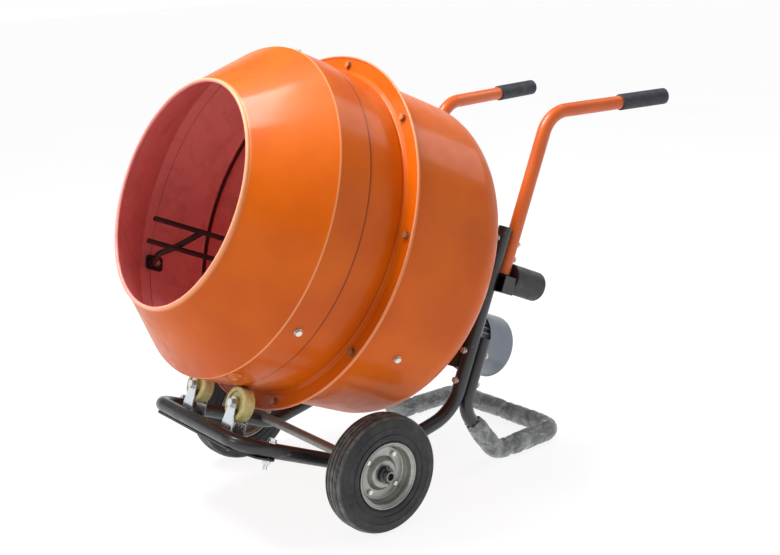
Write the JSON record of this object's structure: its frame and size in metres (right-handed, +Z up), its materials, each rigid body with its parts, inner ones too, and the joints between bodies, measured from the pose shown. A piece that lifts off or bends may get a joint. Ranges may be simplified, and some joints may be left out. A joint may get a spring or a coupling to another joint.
{
  "type": "concrete mixer",
  "caption": "Portable electric drum mixer: tilted steel drum on a two-wheeled tube frame with handles, support rollers and geared motor.",
  "frame": {"origin": "on the floor, at the middle of the machine's length and width", "axes": "+Z up, -Y towards the drum's mouth, +Y towards the handles, +X to the operator's left when facing the mouth from the handles"},
  "size_m": [0.7886, 1.3163, 0.9958],
  "materials": {
    "orange_paint": "satin",
    "black_paint": "satin",
    "black_rubber": "matt",
    "zinc_steel": "zinc plated",
    "mixing_steel": "satin",
    "machined_steel": "machined",
    "cast_case": "painted",
    "motor_grey": "satin",
    "nylon": "matt",
    "black_plastic": "matt",
    "rim_grey": "satin",
    "tyre_rubber": "matt",
    "foam_wrap": "matt",
    "green_plastic": "gloss",
    "red_plastic": "gloss"
  },
  "bodies": {
    "frame": {"axle": "machined_steel", "axle_pins": "zinc_steel", "back_plate": "black_paint", "cable_gland": "black_plastic", "caster_fork_left": "zinc_steel", "caster_fork_right": "zinc_steel", "chassis_tube": "black_paint", "drive_bolts": "zinc_steel", "fan_cowl": "motor_grey", "frame_bolts": "zinc_steel", "gearcase": "cast_case", "gearcase_cover": "cast_case", "grip_left": "black_rubber", "grip_right": "black_rubber", "handle_left": "orange_paint", "handle_right": "orange_paint", "housing_cap": "cast_case", "motor_body": "motor_grey", "motor_stator": "machined_steel", "roller_plate": "black_paint", "shaft_bearings": "machined_steel", "shaft_housing": "cast_case", "stand_tube": "black_paint", "stand_wrap": "foam_wrap", "switch_box": "black_plastic", "switch_bracket": "black_paint", "switch_cover": "black_plastic", "tube_bolts": "zinc_steel"},
    "drum": {"drum_cone": "orange_paint", "drum_track": "orange_paint", "drum_gasket": "black_rubber", "drum_rear": "orange_paint", "ring_bolts": "zinc_steel", "hub_flange": "orange_paint", "hub_bolts": "zinc_steel", "drum_shaft": "machined_steel", "drive_gear": "machined_steel", "paddle_1": "mixing_steel", "paddle_2": "mixing_steel", "paddle_3": "mixing_steel", "paddle_bolts": "zinc_steel"},
    "countershaft": {"countershaft": "machined_steel", "reduction_gear": "machined_steel"},
    "motor_rotor": {"motor_shaft": "machined_steel", "motor_rotor": "machined_steel", "motor_fan": "black_plastic"},
    "roller_left": {"roller_left": "nylon"},
    "roller_right": {"roller_right": "nylon"},
    "wheel_left": {"tyre_left": "tyre_rubber", "rim_outer_left": "rim_grey", "rim_inner_left": "rim_grey", "wheel_hub_left": "black_plastic", "rim_bolts_left": "zinc_steel"},
    "wheel_right": {"tyre_right": "tyre_rubber", "rim_outer_right": "rim_grey", "rim_inner_right": "rim_grey", "wheel_hub_right": "black_plastic", "rim_bolts_right": "zinc_steel"},
    "start_button": {"start_button": "green_plastic"},
    "stop_button": {"stop_button": "red_plastic"}
  },
  "joints": [
    {"name": "drum_spin", "type": "hinge", "parent": "frame", "child": "drum", "pos_m": [0, -0.19446, 0.56095], "axis": [0, 0.9063, -0.4226], "continuous": true},
    {"name": "countershaft_spin", "type": "hinge", "parent": "frame", "child": "countershaft", "pos_m": [-0.07415, 0.02324, 0.34162], "axis": [0, 0.9063, -0.4226], "continuous": true},
    {"name": "motor_spin", "type": "hinge", "parent": "frame", "child": "motor_rotor", "pos_m": [0, 0.1127, 0.27318], "axis": [0, 0.9063, -0.4226], "continuous": true},
    {"name": "roller_left_spin", "type": "hinge", "parent": "frame", "child": "roller_left", "pos_m": [0.08353, -0.505, 0.28306], "axis": [0, 0.9063, -0.4226], "continuous": true},
    {"name": "roller_right_spin", "type": "hinge", "parent": "frame", "child": "roller_right", "pos_m": [-0.08353, -0.505, 0.28306], "axis": [0, 0.9063, -0.4226], "continuous": true},
    {"name": "wheel_left_spin", "type": "hinge", "parent": "frame", "child": "wheel_left", "pos_m": [0.282, -0.29998, 0.127], "axis": [1, 0, 0], "continuous": true},
    {"name": "wheel_right_spin", "type": "hinge", "parent": "frame", "child": "wheel_right", "pos_m": [-0.282, -0.29998, 0.127], "axis": [1, 0, 0], "continuous": true},
    {"name": "start_button_press", "type": "slide", "parent": "frame", "child": "start_button", "axis": [0, -0.9063, 0.4226], "range_m": [0, 0.004], "stiffness_N_per_m": 600},
    {"name": "stop_button_press", "type": "slide", "parent": "frame", "child": "stop_button", "axis": [0, -0.9063, 0.4226], "range_m": [0, 0.004], "stiffness_N_per_m": 600}
  ],
  "couplings": [
    {"joint": "countershaft_spin", "follows": "drum_spin", "ratio": -7},
    {"joint": "motor_spin", "follows": "drum_spin", "ratio": 49},
    {"joint": "roller_left_spin", "follows": "drum_spin", "ratio": -9.4507},
    {"joint": "roller_right_spin", "follows": "drum_spin", "ratio": -9.4507}
  ]
}
